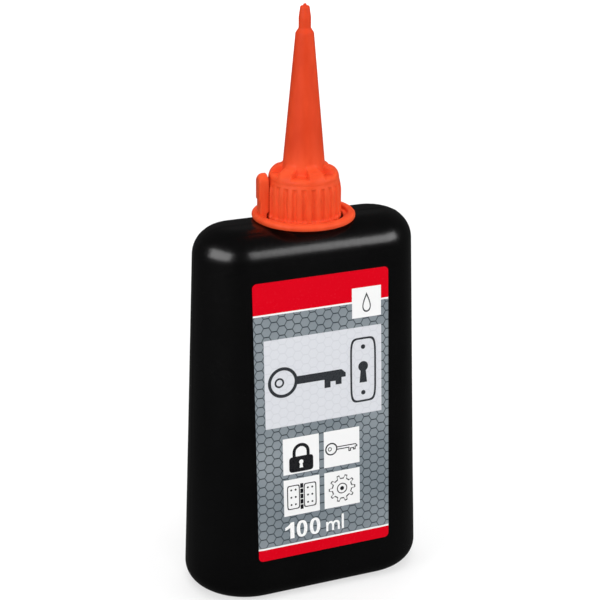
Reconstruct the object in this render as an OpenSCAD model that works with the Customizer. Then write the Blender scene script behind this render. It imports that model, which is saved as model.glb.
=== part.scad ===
// Flat squeeze bottle of graphite lock lubricant with a screw-on spout.
// Millimetres, +Z up, the front face looks along -Y.
// The origin is the middle of the foot, and the closure's axis is x = y = 0.

/* [Bottle body] */
// Width that the sloping ends reach at the table
foot_w = 64; // [58:0.5:72]
// Depth that the sloping faces reach at the table
foot_d = 32.3; // [29:0.1:36]
// Width that the sloping ends reach at the top of the shoulder
top_w = 57.4; // [52:0.2:63]
// Depth that the sloping faces reach at the top of the shoulder
top_d = 20.8; // [19:0.2:26]
// Height of the top of the shoulder
body_h = 97.2; // [90:0.2:110]
// Rounding between the foot and the walls
foot_round = 5; // [4:0.5:8]
// Rounding between the walls and the shoulder
shoulder_round = 7.5; // [5:0.5:8.5]
// Wall of the blown body
wall_t = 1; // [0.8:0.1:1.6]
// Rise of the pushed-up middle of the base
push_up_h = 0.8; // [0.4:0.1:1.4]
// Width of the rim that the bottle stands on
standing_rim_w = 3; // [2:0.5:5]

/* [Neck and thread] */
// Radius of the mouth
neck_bore_r = 5.75; // [5:0.05:6.2]
// Wall of the neck
neck_wall_t = 1.1; // [0.9:0.1:1.4]
// Height of the neck above the shoulder
neck_h = 9.9; // [9.4:0.1:12]
// Axial rise of the thread in one turn
thread_pitch = 3.2; // [3:0.1:3.6]
// Turns of each thread ridge
thread_turns = 1.5; // [1:0.25:1.5]
// Height of a thread ridge above its wall
thread_depth = 0.75; // [0.6:0.05:0.9]
// Width of a ridge along the axis, at its crest
thread_crest_w = 1; // [0.7:0.1:1.1]
// Width of a ridge along the axis, at its wall
thread_root_w = 1.7; // [1.3:0.1:1.8]
// Radial clearance between the neck's thread and the cap
thread_gap = 0.3; // [0.25:0.05:0.4]

/* [Neck gasket] */
// Thickness of the sealing washer
gasket_t = 0.9; // [0.6:0.1:1.4]
// Radius of the washer's hole
gasket_hole_r = 4.6; // [4.3:0.1:5]

/* [Spout cap] */
// Wall of the skirt, behind the grooves of the grip
skirt_wall_t = 1.05; // [0.9:0.05:1.4]
// Gap from the shoulder to the edge of the skirt
skirt_lift = 0.5; // [0.4:0.1:1]
// Grip ribs round the skirt
rib_count = 24; // [18:1:30]
// Depth of the grooves between the ribs
rib_depth = 0.35; // [0.2:0.05:0.4]
// Radius of the round cutter of a groove
groove_r = 0.75; // [0.6:0.05:0.8]
// Height of the plain band at the edge of the skirt
flare_h = 1.2; // [0.8:0.1:1.4]
// Step from the ribs out to the plain band
flare_t = 0.3; // [0.2:0.05:0.4]
// Thickness of the cap's deck
deck_t = 0.95; // [0.8:0.05:1.4]
// Radius of the edge between the deck and the skirt
deck_round = 1; // [0.6:0.1:1]
// Height of the smooth wall above the slope, up to the deck
brow_h = 1.5; // [1.1:0.1:2]
// Step from the ribs in to the smooth wall
brow_step = 0.55; // [0.4:0.05:0.6]
// Height of the slope that takes up this step, in which the ribs fade out
brow_slope_h = 2.2; // [1:0.1:3]
// Gussets that stiffen the foot of the spout
gusset_count = 6; // [4:1:8]
// Rise of a gusset above the deck at the spout
gusset_rise = 3; // [1.6:0.1:3.4]
// Width of a gusset at the deck
gusset_foot_w = 4.1; // [3:0.1:4.4]
// Width of a gusset at its top
gusset_top_w = 2.7; // [2:0.1:3]

/* [Spout] */
// Outside radius at the deck
spout_foot_r = 5.4; // [5:0.05:5.6]
// Outside radius at the top of the cone
spout_top_r = 2.25; // [2.1:0.05:2.5]
// Height of the cone above the deck
spout_h = 34.4; // [30:0.2:45]
// Wall of the cone
spout_wall_t = 1.2; // [1:0.05:1.3]
// Height of the shoulder below the nib
nib_step_h = 1.2; // [0.8:0.1:1.5]
// Radius of the nib, which is cut off at the first use
nib_r = 1.5; // [1.3:0.05:1.6]
// Height of the nib above its shoulder, without the gate
nib_h = 5.3; // [4.6:0.1:7]
// Straight length at the foot of the nib
nib_straight_h = 2.5; // [1:0.1:3]
// Radius of the nib's end, where its taper stops
nib_tip_r = 1.2; // [1.15:0.05:1.3]
// Rounding of the nib's end
nib_round = 0.7; // [0.4:0.05:0.7]
// Radius of the passage inside the nib
nib_bore_r = 0.7; // [0.5:0.05:0.8]
// Closed length at the end of the nib
nib_plug_h = 1.6; // [1.2:0.1:2]
// Radius of the moulding gate on the tip
gate_r = 0.45; // [0.3:0.05:0.45]
// Height of the moulding gate
gate_h = 0.5; // [0.3:0.1:0.8]

/* [Tear ring] */
// Clearance from the skirt's plain band to the ring
ring_gap = 0.3; // [0.25:0.05:0.5]
// Thickness of the thin web that was joined to the skirt
web_t = 0.7; // [0.5:0.1:1]
// Width of the web
web_w = 1; // [0.8:0.1:1.4]
// Width of the rim
rim_w = 2; // [1.8:0.1:2.4]
// Height of the rim
rim_h = 1.7; // [1.6:0.1:2.6]
// Height of the pull tab above the rim's underside
tab_h = 11.8; // [9:0.2:13]
// Width of the tab round the ring
tab_w = 4; // [3:0.2:5]
// Thickness of the tab
tab_t = 1.8; // [1.5:0.1:2.4]
// Height of the tab's thinner stem above the rim's underside
tab_stem_h = 5; // [3:0.1:7]
// Step from the stem out to the thumb pad
tab_step = 0.25; // [0.1:0.05:0.4]
// Direction of the tab, counter-clockwise from +X
tab_angle = 171; // [0:1:359]

/* [Graphite] */
// Level of the graphite inside the bottle
fill_z = 77; // [40:0.5:86]
// Clearance between the graphite and the wall
charge_gap = 0.3; // [0.2:0.05:0.5]

/* [Labels] */
// Width of the labels
label_w = 36.6; // [28:0.2:38]
// Height of the labels
label_h = 73.6; // [50:0.2:74]
// Height of the middle of the labels
label_mid_z = 48.6; // [48:0.1:50]
// Radius of the labels' corners
label_corner_r = 1.1; // [0.5:0.1:3]
// Thickness of the label film
label_t = 0.12; // [0.08:0.01:0.2]
// Thickness of the adhesive under the film
glue_t = 0.02; // [0.01:0.01:0.04]

/* [Hidden] */

// Gap between flat faces that seat on each other
seat_gap = 0.02;
// Overrun of cuts, and depth by which a ridge sinks into its wall
over = 0.25;
// Segments round a hull's discs, round true curves and in a turn of thread
hull_fn = 36;
round_fn = 64;
turn_steps = 32;
arc_steps = 8;

// Shares of the gusset's rise and of the deck's round edge that shape its outline
gusset_bend_share = 0.4;
gusset_bend_z_share = 0.72;
gusset_drop_share = 0.5;
// Share of the tab's thickness that its round corner takes
tab_round_share = 0.9;

// Colours
black_plastic = [0.02, 0.02, 0.022];
orange_plastic = [0.95, 0.27, 0.11];
graphite_grey = [0.22, 0.22, 0.24];
foam_white = [0.93, 0.92, 0.88];
label_grey = [0.52, 0.57, 0.6];

// Slopes of the faces and ends, and the length of a sloping line per unit of height
face_slope = (foot_d - top_d) / 2 / body_h;
end_slope = (foot_w - top_w) / 2 / body_h;
face_stretch = sqrt(1 + face_slope * face_slope);
end_stretch = sqrt(1 + end_slope * end_slope);

function half_d(z) = foot_d / 2 - z * face_slope;
function half_w(z) = foot_w / 2 - z * end_slope;
// Radius of the circle that a rounded edge's own circle runs round, at one end of the body
function edge_run_r(z, round_r) = half_d(z) - round_r * face_stretch;
// Place of that run's centre along X
function end_x(z, round_r) = half_w(z) - round_r * end_stretch - edge_run_r(z, round_r);

shoulder_z = body_h - shoulder_round;
foot_run_r = edge_run_r(foot_round, foot_round);
foot_x = end_x(foot_round, foot_round);
recess_r = foot_run_r - standing_rim_w;

// Neck, thread and what lies over them
neck_r = neck_bore_r + neck_wall_t;
rim_z = body_h + neck_h;
skirt_bore_r = neck_r + thread_depth + thread_gap;
skirt_z = body_h + skirt_lift;
neck_thread_top_z = rim_z - thread_root_w / 2 - thread_gap;
neck_thread_z = neck_thread_top_z - thread_pitch * thread_turns;
cap_thread_z = neck_thread_z - thread_pitch / 2;

gasket_z = rim_z + seat_gap;
gasket_r = skirt_bore_r - seat_gap;
roof_z = gasket_z + gasket_t + seat_gap;
deck_z = roof_z + deck_t;

// Outside of the cap, from the ribs inwards
rib_r = skirt_bore_r + skirt_wall_t + rib_depth;
flare_r = rib_r + flare_t;
brow_r = rib_r - brow_step;
brow_z = deck_z - brow_h;

// Spout and nib
spout_slope = (spout_foot_r - spout_top_r) / spout_h;
spout_top_z = deck_z + spout_h;
nib_z = spout_top_z + nib_step_h;
tip_z = nib_z + nib_h;
spout_bore_r = spout_foot_r - spout_wall_t;
mouth_bore_r = spout_top_r - spout_wall_t;

// Tear ring
ring_z = body_h + seat_gap;
ring_bore_r = flare_r + ring_gap;
rim_r = ring_bore_r + web_w + rim_w;

// Points along an arc round c, from one angle to another
function arc(c, r, from, to, steps = arc_steps) = [
    for (i = [0:steps])
        let (a = from + (to - from) * i / steps)
            [c[0] + r * cos(a), c[1] + r * sin(a)]
];

// Torus-edged disc: the corner of a rounded body, as one end of the bottle's hull
module edge_disc(z, round_r, grow) {
    run_r = edge_run_r(z, round_r);
    edge_r = round_r + grow;
    translate([0, 0, z])
        rotate_extrude($fn = hull_fn)
            intersection() {
                translate([run_r, 0])
                    circle(edge_r, $fn = hull_fn);
                translate([0, -edge_r])
                    square([run_r + edge_r, edge_r * 2]);
            }
}

// The body's outer form, grown or shrunk evenly
module body_form(grow) {
    hull()
        for (side = [-1, 1]) {
            translate([side * foot_x, 0, 0])
                edge_disc(foot_round, foot_round, grow);
            translate([side * end_x(shoulder_z, shoulder_round), 0, 0])
                edge_disc(shoulder_z, shoulder_round, grow);
        }
}

// Round-ended block over the pushed-up middle of the base
module base_recess(extra) {
    translate([0, 0, -over])
        linear_extrude(over + push_up_h + extra) {
            for (side = [-1, 1])
                translate([side * foot_x, 0])
                    circle(recess_r + extra, $fn = round_fn);
            square([foot_x * 2, (recess_r + extra) * 2], center = true);
        }
}

// The space inside the body, at a distance from its outside
module inner_space(inset) {
    difference() {
        body_form(-inset);
        base_recess(inset);
    }
}

// Right-handed thread ridge. It starts at start_z on the +X side, sits on the wall
// at wall_r and rises outwards (side = 1) or inwards (side = -1). Its ends run out.
module thread_ridge(wall_r, start_z, side) {
    steps = round(thread_turns * turn_steps);
    run_out = turn_steps / 8;
    sunk_r = wall_r - side * over;
    function rise(i) = min(1, min(i, steps - i) / run_out);
    function crest_r(i) = wall_r + side * (thread_depth * rise(i) - over / 2 * (1 - rise(i)));
    rings = [
        for (i = [0:steps])
            let (a = i * 360 / turn_steps, z = start_z + i * thread_pitch / turn_steps)
                [
                    [sunk_r * cos(a), sunk_r * sin(a), z - thread_root_w / 2],
                    [crest_r(i) * cos(a), crest_r(i) * sin(a), z - thread_crest_w / 2],
                    [crest_r(i) * cos(a), crest_r(i) * sin(a), z + thread_crest_w / 2],
                    [sunk_r * cos(a), sunk_r * sin(a), z + thread_root_w / 2]
                ]
    ];
    points = [for (ring = rings) each ring];
    skin = [
        for (i = [0:steps - 1], k = [0:3])
            let (a = i * 4 + k, b = i * 4 + (k + 1) % 4)
                each [[a, a + 4, b], [b, a + 4, b + 4]]
    ];
    last = steps * 4;
    caps = [[0, 1, 2], [0, 2, 3], [last, last + 2, last + 1], [last, last + 3, last + 2]];
    faces = concat(skin, caps);
    polyhedron(points, side < 0 ? faces : [for (f = faces) [f[0], f[2], f[1]]]);
}

// Blown body with its neck, hollow throughout
module bottle() {
    color(black_plastic)
        difference() {
            union() {
                body_form(0);
                translate([0, 0, shoulder_z])
                    cylinder(h = rim_z - shoulder_z, r = neck_r, $fn = round_fn);
                thread_ridge(neck_r, neck_thread_z, 1);
            }
            inner_space(wall_t);
            base_recess(0);
            translate([0, 0, shoulder_z])
                cylinder(h = rim_z - shoulder_z + over, r = neck_bore_r, $fn = round_fn);
        }
}

// The graphite that the bottle holds, level at the top
module graphite_charge() {
    color(graphite_grey)
        intersection() {
            inner_space(wall_t + charge_gap);
            translate([-foot_w / 2, -foot_d / 2, 0])
                cube([foot_w, foot_d, fill_z]);
        }
}

// Film that follows the body, on the side that the sign of side_y names
module label_film(side_y) {
    color(label_grey)
        intersection() {
            difference() {
                body_form(glue_t + label_t);
                body_form(glue_t);
            }
            rotate([90, 0, side_y < 0 ? 0 : 180])
                linear_extrude(foot_d)
                    translate([0, label_mid_z])
                        rounded_rectangle(label_w, label_h, label_corner_r);
        }
}

module rounded_rectangle(w, h, r) {
    square([w - r * 2, h], center = true);
    square([w, h - r * 2], center = true);
    for (x = [-1, 1], y = [-1, 1])
        translate([x * (w / 2 - r), y * (h / 2 - r)])
            circle(r, $fn = round_fn);
}

// Flat washer that the cap holds against the rim of the neck
module neck_gasket() {
    color(foam_white)
        translate([0, 0, gasket_z])
            difference() {
                cylinder(h = gasket_t, r = gasket_r, $fn = round_fn);
                translate([0, 0, -over])
                    cylinder(h = gasket_t + over * 2, r = gasket_hole_r, $fn = round_fn);
            }
}

// Outside of the cap and the spout, turned about the axis
module cap_turned() {
    rotate_extrude($fn = round_fn)
        polygon(concat(
            [
                [0, skirt_z],
                [flare_r, skirt_z],
                [flare_r, skirt_z + flare_h - flare_t],
                [rib_r, skirt_z + flare_h],
                [rib_r, brow_z - brow_slope_h],
                [brow_r, brow_z]
            ],
            arc([brow_r - deck_round, deck_z - deck_round], deck_round, 0, 90),
            [
                [spout_foot_r, deck_z],
                [spout_top_r, spout_top_z],
                [nib_r, nib_z],
                [nib_r, nib_z + nib_straight_h]
            ],
            arc([nib_tip_r - nib_round, tip_z - nib_round], nib_round, 0, 90),
            [
                [gate_r, tip_z],
                [gate_r, tip_z + gate_h],
                [0, tip_z + gate_h]
            ]
        ));
}

// Space inside the skirt and the spout
module cap_hollow() {
    rotate_extrude($fn = round_fn)
        polygon([
            [0, skirt_z - over],
            [skirt_bore_r, skirt_z - over],
            [skirt_bore_r, roof_z],
            [spout_bore_r, roof_z],
            [spout_bore_r, deck_z],
            [mouth_bore_r, spout_top_z],
            [nib_bore_r, nib_z],
            [nib_bore_r, tip_z - nib_plug_h],
            [0, tip_z - nib_plug_h + nib_bore_r]
        ]);
}

// Radial webs between the deck and the spout. A turned outline gives them their slope
// and round shoulders, and their flanks lean in towards the top.
module gussets() {
    end_r = brow_r - seat_gap;
    slope = atan2(gusset_rise * (1 - gusset_bend_share), brow_r - spout_foot_r);
    bend_r = spout_foot_r + deck_round * gusset_bend_share;
    arc_z = deck_z - deck_round * gusset_drop_share;
    low_z = arc_z - over / 2;
    intersection() {
        rotate_extrude($fn = round_fn)
            polygon(concat(
                [
                    [0, low_z],
                    [end_r, low_z]
                ],
                arc([end_r - deck_round, arc_z], deck_round, 0, 90 - slope),
                [
                    [bend_r, deck_z + gusset_rise * gusset_bend_z_share],
                    [spout_foot_r - gusset_rise * spout_slope - over, deck_z + gusset_rise],
                    [0, deck_z + gusset_rise]
                ]
            ));
        for (i = [0:gusset_count - 1])
            rotate(i * 360 / gusset_count)
                rotate([90, 0, 0])
                    translate([0, 0, spout_bore_r - over])
                        linear_extrude(flare_r)
                            polygon([
                                [-gusset_foot_w / 2, roof_z],
                                [gusset_foot_w / 2, roof_z],
                                [gusset_foot_w / 2, deck_z],
                                [gusset_top_w / 2, deck_z + gusset_rise + over],
                                [-gusset_top_w / 2, deck_z + gusset_rise + over],
                                [-gusset_foot_w / 2, deck_z]
                            ]);
    }
}

// Round-bottomed grooves that leave the grip ribs standing
module grip_grooves() {
    groove_x = rib_r - rib_depth + groove_r;
    low_z = skirt_z + flare_h + rib_depth / 2;
    for (i = [0:rib_count - 1])
        rotate((i + 0.5) * 360 / rib_count)
            translate([groove_x, 0, low_z])
                cylinder(h = brow_z - low_z, r = groove_r, $fn = round_fn / 4);
}

// Screw cap, spout and closed nib, moulded in one
module spout_cap() {
    color(orange_plastic) {
        difference() {
            union() {
                cap_turned();
                gussets();
            }
            cap_hollow();
            grip_grooves();
        }
        thread_ridge(skirt_bore_r, cap_thread_z, -1);
    }
}

// Upright tab on the +X side, with a round outer corner and a back that follows the ring
module pull_tab() {
    tab_r = ring_bore_r + tab_t;
    corner_r = tab_t * tab_round_share;
    back_r = ring_bore_r + seat_gap;
    difference() {
        translate([0, tab_w / 2, ring_z])
            rotate([90, 0, 0])
                linear_extrude(tab_w)
                    polygon(concat(
                        [
                            [ring_bore_r - web_t, web_t / 2],
                            [tab_r - tab_step, web_t / 2],
                            [tab_r - tab_step, tab_stem_h],
                            [tab_r, tab_stem_h + tab_step]
                        ],
                        arc([tab_r - corner_r, tab_h - corner_r], corner_r, 0, 90),
                        [[ring_bore_r - web_t, tab_h]]
                    ));
        translate([0, 0, ring_z])
            cylinder(h = tab_h + over, r = back_r, $fn = round_fn);
    }
}

// Band with a raised rim and an upright tab, torn off before the first use
module tear_ring() {
    rim_round = rim_h / 2;
    color(orange_plastic) {
        translate([0, 0, ring_z])
            rotate_extrude($fn = round_fn)
                polygon(concat(
                    [[ring_bore_r, 0]],
                    arc([rim_r - rim_round, rim_round], rim_round, -90, 90),
                    [
                        [ring_bore_r + web_w, rim_h],
                        [ring_bore_r + web_w, web_t],
                        [ring_bore_r, web_t]
                    ]
                ));
        rotate(tab_angle)
            pull_tab();
    }
}

bottle();
graphite_charge();
label_film(-1);  // front_label
label_film(1);  // rear_label
neck_gasket();
spout_cap();
tear_ring();
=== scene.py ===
import math

import bpy
import numpy as np
from mathutils import Matrix, Vector


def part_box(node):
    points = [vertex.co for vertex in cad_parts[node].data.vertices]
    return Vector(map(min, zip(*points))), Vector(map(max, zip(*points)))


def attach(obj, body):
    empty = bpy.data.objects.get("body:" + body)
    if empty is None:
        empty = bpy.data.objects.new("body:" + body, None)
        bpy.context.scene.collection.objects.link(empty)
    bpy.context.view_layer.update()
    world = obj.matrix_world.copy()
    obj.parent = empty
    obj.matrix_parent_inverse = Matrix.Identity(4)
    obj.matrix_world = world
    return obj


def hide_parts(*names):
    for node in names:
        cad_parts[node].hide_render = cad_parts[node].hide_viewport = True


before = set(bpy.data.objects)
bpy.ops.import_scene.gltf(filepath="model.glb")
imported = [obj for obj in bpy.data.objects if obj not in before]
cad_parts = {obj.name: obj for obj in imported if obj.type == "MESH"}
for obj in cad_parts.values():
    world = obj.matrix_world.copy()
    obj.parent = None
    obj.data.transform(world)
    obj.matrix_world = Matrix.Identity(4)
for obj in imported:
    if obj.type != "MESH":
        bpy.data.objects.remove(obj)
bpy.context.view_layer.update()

# Bottle: one blow-moulded piece of black polyethylene, flat, round-ended and tapering upwards.
# The halves of the mould leave a fine bead over the ends and the shoulder, and the pinched-off
# tail of the blown tube leaves a seam across the pushed-up foot. The cap screws on its neck.
mm = 0.001
foot_w, foot_d = 64 * mm, 32.3 * mm
top_w, top_d = 57.4 * mm, 20.8 * mm
body_h = 97.2 * mm
foot_round, shoulder_round = 5 * mm, 7.5 * mm
wall_t = 1 * mm
push_up_h, standing_rim_w, recess_round = 0.8 * mm, 3 * mm, 0.3 * mm
neck_bore_r, neck_wall_t = 5.75 * mm, 1.1 * mm
neck_r = neck_bore_r + neck_wall_t
neck_foot_round, lip_round = 0.6 * mm, 0.35 * mm
rim_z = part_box("bottle")[1].z
thread_pitch, thread_turns, thread_depth = 3.2 * mm, 1.5, 0.75 * mm
thread_crest_w, thread_root_w = 1 * mm, 1.7 * mm
thread_gap, thread_sunk, thread_run_in = 0.3 * mm, 0.2 * mm, 1 / 8
crest_edge_share, crest_edge_w_share, crest_top_w_share = 0.85, 1.05, 0.7
bead_h, bead_w, bead_z = 0.07 * mm, 0.2 * mm, 7.5 * mm
seam_h, seam_w, seam_length = 0.35 * mm, 0.7 * mm, 36 * mm
black_deep, black_worn = (0.0008, 0.0008, 0.0009, 1), (0.0015, 0.0015, 0.0016, 1)
column_count, foot_steps, wall_steps, bend_steps, crown_steps = 300, 15, 34, 12, 22
neck_foot_steps, neck_steps, lip_steps, recess_steps = 6, 10, 5, 5
seam_steps, seam_sides, seam_end_power, seam_end_share, thread_columns = 41, 12, 6, 0.02, 96
recess_shares = (0.12, 0.3, 0.5, 0.7, 0.85, 0.95)
bead_shares, bead_clearance = (0.35, 0.7, 1, 1.6), 1.5
bend_end, crown_crowding = math.radians(44), 1.4

face_slope = (foot_d - top_d) / 2 / body_h
end_slope = (foot_w - top_w) / 2 / body_h
wall_tilt = math.atan(face_slope)
shoulder_z = body_h - shoulder_round


def half_depth(z):
    return foot_d / 2 - z * face_slope


def half_width(z):
    return foot_w / 2 - z * end_slope


def edge_run(z, edge_round):
    """Radius that a rounded edge runs round at the ends, and how far out its centre lies."""
    run_r = half_depth(z) - edge_round * math.hypot(1, face_slope)
    return run_r, half_width(z) - edge_round * math.hypot(1, end_slope) - run_r


foot_run_r, foot_core = edge_run(foot_round, foot_round)
shoulder_run_r, shoulder_core = edge_run(shoulder_z, shoulder_round)
recess_r = foot_run_r - standing_rim_w


def reach(core, radius, turns):
    """Distances from the axis to a round-ended outline, in the directions turns."""
    along, across = np.abs(np.cos(turns)), np.abs(np.sin(turns))
    straight = radius / np.maximum(across, 1e-9)
    round_end = core * along + np.sqrt(np.maximum(radius ** 2 - (core * across) ** 2, 0))
    return np.where(straight * along <= core, straight, round_end)


def even_turns(core, radius, count, extra_y):
    """Directions that share out a round-ended outline, with more of them at each end's middle."""
    side, end = 2 * core, math.pi * radius
    points = []
    for step in np.arange(count) / count * 2 * (side + end):
        half, run = divmod(step, side + end)
        if run < end:
            turn = run / radius - math.pi / 2
            x, y = core + radius * math.cos(turn), radius * math.sin(turn)
        else:
            x, y = core - (run - end), radius
        points.append(math.atan2(y, x) + half * math.pi)
    near = [math.atan2(sign * y, core + radius) + half for y in extra_y for sign in (-1, 1)
            for half in (0, math.pi)]
    clear = math.atan2(max(extra_y) * bead_clearance, core + radius)
    kept = [turn for turn in points if abs(math.remainder(turn, math.pi)) > clear]
    return np.unique(np.round(np.mod(kept + near + [0, math.pi], 2 * math.pi), 7))


def rings_to_mesh(rings, poles=(None, None), looped=False):
    """Points and faces of a closed skin through rings of points, one inside the next."""
    rings = np.asarray(rings, float)
    count, columns = rings.shape[:2]
    points = [tuple(p) for p in rings.reshape(-1, 3)]
    faces = []
    for row in range(count if looped else count - 1):
        low, high = row * columns, (row + 1) % count * columns
        for i in range(columns):
            j = (i + 1) % columns
            faces.append((low + i, low + j, high + j, high + i))
    for pole, row in zip(poles, (0, count - 1)):
        if pole is None:
            continue
        points.append(tuple(pole))
        for i in range(columns):
            pair = (row * columns + (i + 1) % columns, row * columns + i)
            faces.append((pair if row == 0 else pair[::-1]) + (len(points) - 1,))
    return points, faces


def make_piece(name, shells, material, sharp=40):
    """One mesh object, at the origin, from closed shells of points and faces."""
    points, faces = [], []
    for shell_points, shell_faces in shells:
        faces += [tuple(i + len(points) for i in face) for face in shell_faces]
        points += shell_points
    mesh = bpy.data.meshes.new(name)
    mesh.from_pydata(points, [], faces)
    mesh.update()
    mesh.shade_smooth()
    mesh.set_sharp_from_angle(angle=math.radians(sharp))
    mesh.materials.append(material)
    piece = bpy.data.objects.new(name, mesh)
    bpy.context.scene.collection.objects.link(piece)
    return piece


def thread_shell(wall_r, start_z, side):
    """A right-handed thread ridge on the wall at wall_r, rising outwards (1) or inwards (-1)."""
    steps = round(thread_turns * thread_columns)
    edge_half = thread_crest_w / 2 * crest_edge_w_share
    top_half = thread_crest_w / 2 * crest_top_w_share
    rings = []
    for i in range(steps + 1):
        turn, z = i * 2 * math.pi / thread_columns, start_z + i * thread_pitch / thread_columns
        rise = min(1, min(i, steps - i) / (thread_columns * thread_run_in))
        rise = math.sin(rise * math.pi / 2)
        crest = thread_depth * rise - thread_sunk / 2 * (1 - rise)
        edge = crest * crest_edge_share
        section = [(-thread_sunk, -thread_root_w / 2), (edge, -edge_half), (crest, -top_half),
                   (crest, top_half), (edge, edge_half), (-thread_sunk, thread_root_w / 2)]
        rings.append([((wall_r + side * out) * math.cos(turn),
                       (wall_r + side * out) * math.sin(turn), z + up)
                      for out, up in section[::-side]])
    middles = [np.mean(rings[0], axis=0), np.mean(rings[-1], axis=0)]
    return rings_to_mesh(rings, middles)


def shoulder_height(x, y, shrink=0.0):
    """Height of the rounded shoulder over a point, or of its inside a wall's thickness in."""
    off = np.where(np.abs(x) <= shoulder_core, np.abs(y),
                   np.hypot(np.abs(x) - shoulder_core, y))
    radius = shoulder_round - shrink
    fall = np.clip(off - shoulder_run_r, 0, radius)
    return shoulder_z + np.sqrt(radius ** 2 - fall ** 2)


def ring_points(turns, far, z):
    """Points in the directions turns: far from the axis, at the height z. Both may be arrays."""
    return np.stack([far * np.cos(turns), far * np.sin(turns), np.ones(len(turns)) * z], 1)


def level_ring(turns, core, radius, z, share=1.0):
    """A round-ended outline at a height, drawn in towards the axis to a share of its size."""
    return ring_points(turns, reach(core, radius, turns) * share, z)


def body_rings(turns, shrink, inner_r):
    """Rings up the wall and over the shoulder, to the circle inner_r round the axis."""
    foot_r, shoulder_r = foot_round - shrink, shoulder_round - shrink
    rings = [level_ring(turns, foot_core, foot_run_r + foot_r * math.cos(turn),
                        foot_round + foot_r * math.sin(turn))
             for turn in np.linspace(-math.pi / 2, wall_tilt, foot_steps)]
    bend = [level_ring(turns, shoulder_core, shoulder_run_r + shoulder_r * math.cos(turn),
                       shoulder_z + shoulder_r * math.sin(turn))
            for turn in np.linspace(wall_tilt, bend_end, bend_steps)]
    low, high = rings[-1], bend[0]
    rings += [low + (high - low) * share for share in np.linspace(0, 1, wall_steps)[1:]]
    rings += bend[1:]
    edge = np.hypot(rings[-1][:, 0], rings[-1][:, 1])
    for share in 1 - (1 - np.linspace(0, 1, crown_steps)[1:]) ** crown_crowding:
        far = edge + (inner_r - edge) * share
        z = shoulder_height(far * np.cos(turns), far * np.sin(turns), shrink)
        rings.append(ring_points(turns, far, z))
    return rings


def recess_rings(turns, shrink):
    """Rings of the pushed-up middle of the base, from the middle out to the standing rim."""
    r, top, bend = recess_r + shrink, push_up_h + shrink, recess_round
    quarter = np.linspace(0, math.pi / 2, recess_steps)
    rings = [level_ring(turns, foot_core, r - bend, top, share) for share in recess_shares]
    rings += [level_ring(turns, foot_core, r - bend + bend * math.sin(turn),
                         top - bend + bend * math.cos(turn)) for turn in quarter]
    rings += [level_ring(turns, foot_core, r + bend - bend * math.cos(turn),
                         shrink + bend - bend * math.sin(turn)) for turn in quarter]
    return rings


bottle_turns = even_turns(foot_core, half_depth(body_h / 2), column_count,
                          [bead_w * share for share in bead_shares])
outside = recess_rings(bottle_turns, 0)
bead_first_ring = len(outside)
outside += body_rings(bottle_turns, 0, neck_r + neck_foot_round)
foot_ring = outside[-1]
wall_ring_z = shoulder_height(neck_r * np.cos(bottle_turns), neck_r * np.sin(bottle_turns))
for share in np.linspace(0, 1, neck_foot_steps)[1:]:
    corner = ring_points(bottle_turns, neck_r, wall_ring_z)
    raised = ring_points(bottle_turns, neck_r, wall_ring_z + neck_foot_round)
    outside.append(foot_ring * (1 - share) ** 2 + corner * 2 * share * (1 - share)
                   + raised * share ** 2)
bead_last_ring = len(outside)
neck_low, neck_high = outside[-1], ring_points(bottle_turns, neck_r, rim_z - lip_round)
outside += [neck_low + (neck_high - neck_low) * share
            for share in np.linspace(0, 1, neck_steps)[1:]]
lip_turns = np.linspace(0, math.pi / 2, lip_steps)
outside += [ring_points(bottle_turns, neck_r - lip_round * (1 - math.cos(turn)),
                        rim_z - lip_round * (1 - math.sin(turn))) for turn in lip_turns[1:]]
outside += [ring_points(bottle_turns, neck_bore_r + lip_round * (1 - math.sin(turn)),
                        rim_z - lip_round * (1 - math.cos(turn))) for turn in lip_turns]
inside = recess_rings(bottle_turns, wall_t) + body_rings(bottle_turns, wall_t, neck_bore_r)
bottle_shell = rings_to_mesh(outside + inside[::-1],
                             [(0, 0, push_up_h), (0, 0, push_up_h + wall_t)])

seam_rings = []
for share in np.linspace(-1, 1, seam_steps):
    size = math.sqrt(max(1 - share ** seam_end_power, seam_end_share))
    seam_rings.append([(share * seam_length / 2, math.cos(turn) * seam_w / 2 * size,
                        push_up_h + math.sin(turn) * seam_h * size)
                       for turn in np.linspace(0, 2 * math.pi, seam_sides, endpoint=False)])
seam_shell = rings_to_mesh(seam_rings, [(-seam_length / 2, 0, push_up_h),
                                        (seam_length / 2, 0, push_up_h)])
neck_thread_z = rim_z - thread_root_w / 2 - thread_gap - thread_pitch * thread_turns


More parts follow.
